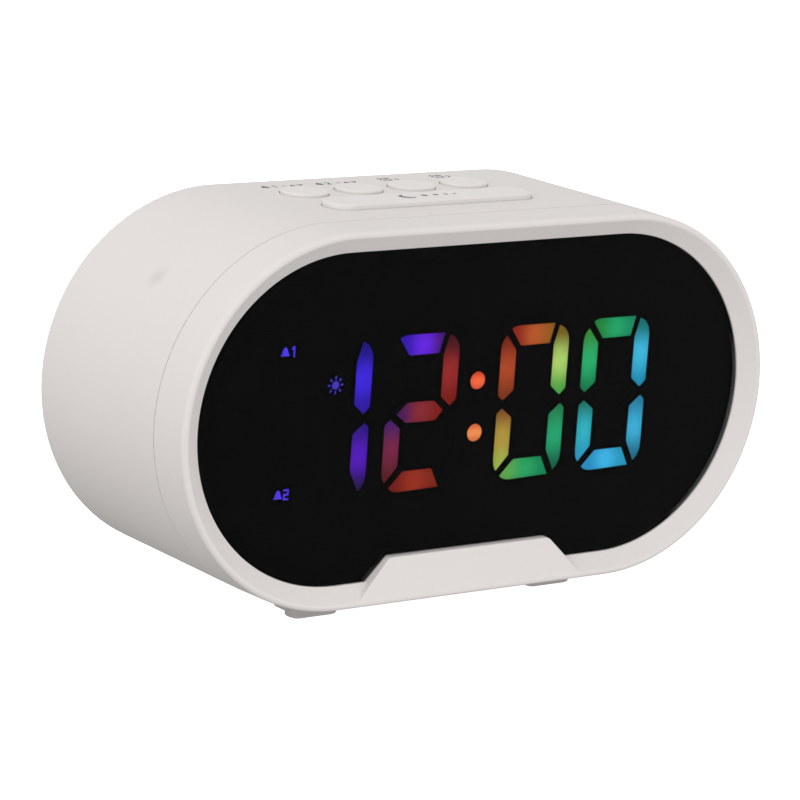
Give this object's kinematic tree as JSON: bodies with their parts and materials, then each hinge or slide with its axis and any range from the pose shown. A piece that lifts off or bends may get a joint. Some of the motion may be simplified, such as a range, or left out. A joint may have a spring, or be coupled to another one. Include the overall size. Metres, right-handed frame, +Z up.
{
  "type": "digital alarm clock",
  "caption": "Mains-powered digital alarm clock: stadium-shaped case, recessed dark window with large rainbow segment digits, snooze bar and round buttons on top.",
  "frame": {"origin": "middle of the bounding box's footprint, on the surface the clock stands on", "axes": "+Z up, the display faces -Y, +X to the right as seen from the front"},
  "size_m": [0.1376, 0.052, 0.079],
  "materials": {
    "case_white": "satin",
    "housing_white": "satin",
    "cover_white": "fine matte texture",
    "door_white": "satin",
    "button_white": "satin",
    "rear_button_white": "satin",
    "smoked_window": "gloss",
    "mask_black": "matte",
    "light_hour_tens": "lit diffuser",
    "light_hour_ones": "lit diffuser",
    "light_minute_tens": "lit diffuser",
    "light_minute_ones": "lit diffuser",
    "light_colon": "lit diffuser",
    "light_alarm_one": "lit diffuser",
    "light_alarm_two": "lit diffuser",
    "light_morning": "lit diffuser",
    "reflector_black": "matte",
    "board_green": "semi-gloss solder mask",
    "chip_black": "matte",
    "screw_steel": "zinc plated",
    "pad_rubber": "matte",
    "switch_black": "matte",
    "cell_steel": "nickel plated",
    "contact_steel": "nickel plated",
    "slider_grey": "satin",
    "inlet_black": "gloss",
    "speaker_steel": "satin",
    "cone_black": "pressed paper, matte",
    "magnet_grey": "matte",
    "ribbon_grey": "matte",
    "wire_red": "satin",
    "wire_black": "satin"
  },
  "bodies": {
    "case": {"front_bezel": "case_white", "display_window": "smoked_window", "segment_mask": "mask_black", "hour_tens_diffuser": "light_hour_tens", "hour_ones_diffuser": "light_hour_ones", "minute_tens_diffuser": "light_minute_tens", "minute_ones_diffuser": "light_minute_ones", "colon_diffuser": "light_colon", "alarm_one_indicator": "light_alarm_one", "alarm_two_indicator": "light_alarm_two", "morning_indicator": "light_morning", "reflector_block": "reflector_black", "display_board": "board_green", "clock_chip": "chip_black", "display_screws": "screw_steel", "main_housing": "housing_white", "front_left_foot_pad": "pad_rubber", "front_right_foot_pad": "pad_rubber", "rear_left_foot_pad": "pad_rubber", "rear_right_foot_pad": "pad_rubber", "button_board": "board_green", "snooze_switch": "switch_black", "alarm_one_set_switch": "switch_black", "alarm_two_set_switch": "switch_black", "alarm_one_switch": "switch_black", "alarm_two_switch": "switch_black", "button_board_screws": "screw_steel", "rear_cover": "cover_white", "rear_cover_screws": "screw_steel", "coin_cell": "cell_steel", "battery_contact_negative": "contact_steel", "battery_contact_positive": "contact_steel", "minus_switch": "switch_black", "clock_set_switch": "switch_black", "plus_switch": "switch_black", "dimmer_switch": "switch_black", "volume_switch": "switch_black", "rear_board": "board_green", "rear_board_screws": "screw_steel", "power_inlet": "inlet_black", "inlet_pin": "contact_steel", "speaker_frame": "speaker_steel", "speaker_cone": "cone_black", "speaker_magnet": "magnet_grey", "rear_board_ribbon": "ribbon_grey", "button_board_ribbon": "ribbon_grey", "speaker_wire_red": "wire_red", "speaker_wire_black": "wire_black"},
    "snooze_bar": {"snooze_bar": "button_white"},
    "alarm_one_set_button": {"alarm_one_set_button": "button_white"},
    "alarm_two_set_button": {"alarm_two_set_button": "button_white"},
    "alarm_one_button": {"alarm_one_button": "button_white"},
    "alarm_two_button": {"alarm_two_button": "button_white"},
    "minus_button": {"minus_button": "rear_button_white"},
    "clock_set_button": {"clock_set_button": "rear_button_white"},
    "plus_button": {"plus_button": "rear_button_white"},
    "dimmer_slider": {"dimmer_slider": "slider_grey"},
    "volume_slider": {"volume_slider": "slider_grey"},
    "battery_door": {"battery_door": "door_white"}
  },
  "joints": [
    {"name": "snooze_press", "type": "slide", "parent": "case", "child": "snooze_bar", "axis": [0, 0, -1], "range_m": [0, 0.001], "stiffness_N_per_m": 400},
    {"name": "alarm_one_set_press", "type": "slide", "parent": "case", "child": "alarm_one_set_button", "axis": [0, 0, -1], "range_m": [0, 0.0006], "stiffness_N_per_m": 300},
    {"name": "alarm_two_set_press", "type": "slide", "parent": "case", "child": "alarm_two_set_button", "axis": [0, 0, -1], "range_m": [0, 0.0006], "stiffness_N_per_m": 300},
    {"name": "alarm_one_press", "type": "slide", "parent": "case", "child": "alarm_one_button", "axis": [0, 0, -1], "range_m": [0, 0.0006], "stiffness_N_per_m": 300},
    {"name": "alarm_two_press", "type": "slide", "parent": "case", "child": "alarm_two_button", "axis": [0, 0, -1], "range_m": [0, 0.0006], "stiffness_N_per_m": 300},
    {"name": "minus_press", "type": "slide", "parent": "case", "child": "minus_button", "axis": [0, -1, 0], "range_m": [0, 0.0005], "stiffness_N_per_m": 300},
    {"name": "clock_set_press", "type": "slide", "parent": "case", "child": "clock_set_button", "axis": [0, -1, 0], "range_m": [0, 0.0005], "stiffness_N_per_m": 300},
    {"name": "plus_press", "type": "slide", "parent": "case", "child": "plus_button", "axis": [0, -1, 0], "range_m": [0, 0.0005], "stiffness_N_per_m": 300},
    {"name": "dimmer_slide", "type": "slide", "parent": "case", "child": "dimmer_slider", "axis": [1, 0, 0], "range_m": [0, 0.005]},
    {"name": "volume_slide", "type": "slide", "parent": "case", "child": "volume_slider", "axis": [1, 0, 0], "range_m": [0, 0.005]},
    {"name": "battery_door_hinge", "type": "hinge", "parent": "case", "child": "battery_door", "pos_m": [-0.042, 0.0256, 0.0291], "axis": [-1, 0, 0], "range_deg": [0, 90]}
  ]
}
